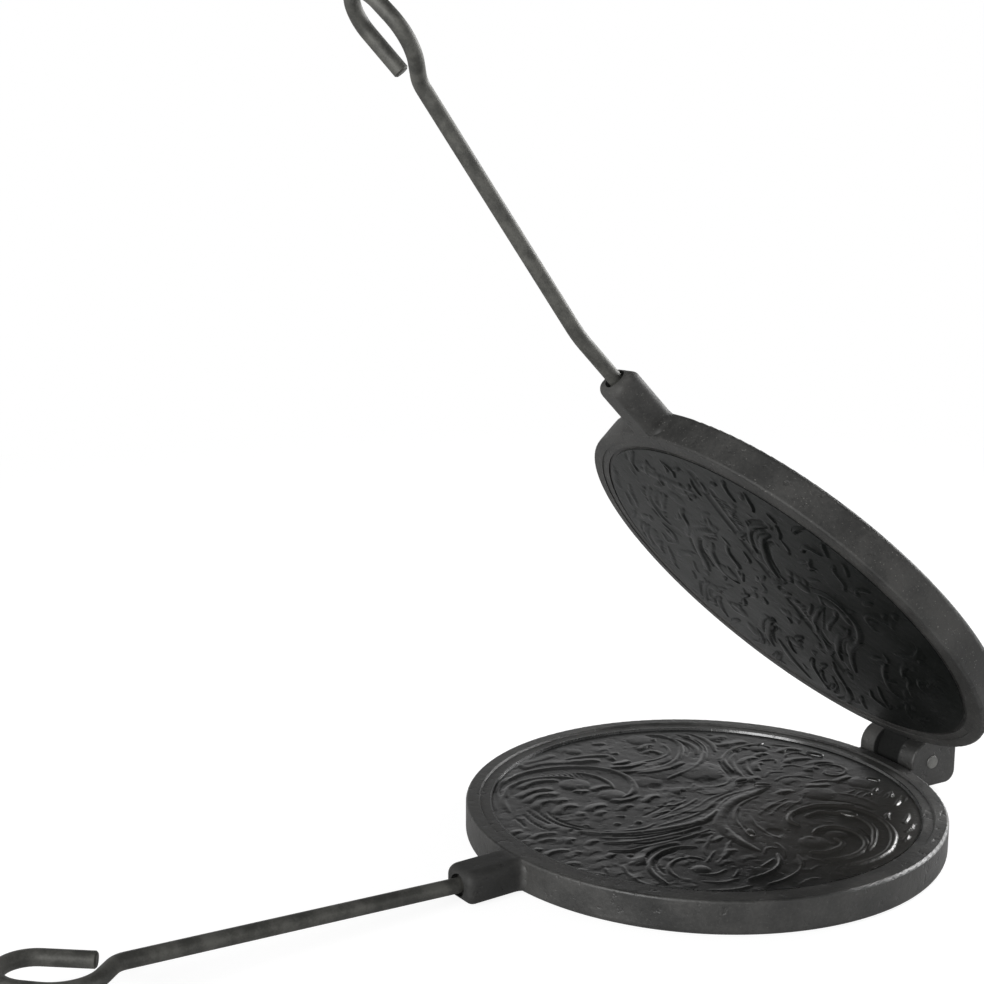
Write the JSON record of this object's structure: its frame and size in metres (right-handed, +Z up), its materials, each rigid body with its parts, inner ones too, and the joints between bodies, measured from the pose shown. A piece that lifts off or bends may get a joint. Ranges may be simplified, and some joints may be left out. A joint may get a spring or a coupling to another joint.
{
  "type": "wafer iron",
  "caption": "Hand-held cast-iron wafer iron: round hinged plates with scroll-patterned baking faces and long steel handle rods ending in bent eyes.",
  "frame": {"origin": "centre of the lower plate's flat underside", "axes": "+Z up, +X towards the hinge, handles towards -X, +Y along the hinge pin"},
  "size_m": [0.3569, 0.165, 0.2811],
  "materials": {
    "casting": "dull, seasoned sand casting",
    "rod": "dark oxidised drawn rod, satin",
    "pin": "worn satin"
  },
  "bodies": {
    "lower": {"lower_plate": "casting", "lower_handle": "rod", "hinge_pin": "pin"},
    "upper": {"upper_plate": "casting", "upper_handle": "rod"}
  },
  "joints": [
    {"name": "hinge", "type": "hinge", "parent": "lower", "child": "upper", "pos_m": [0.0938, 0, 0.0116], "axis": [0, 1, 0], "range_deg": [-47.2, 88]}
  ]
}
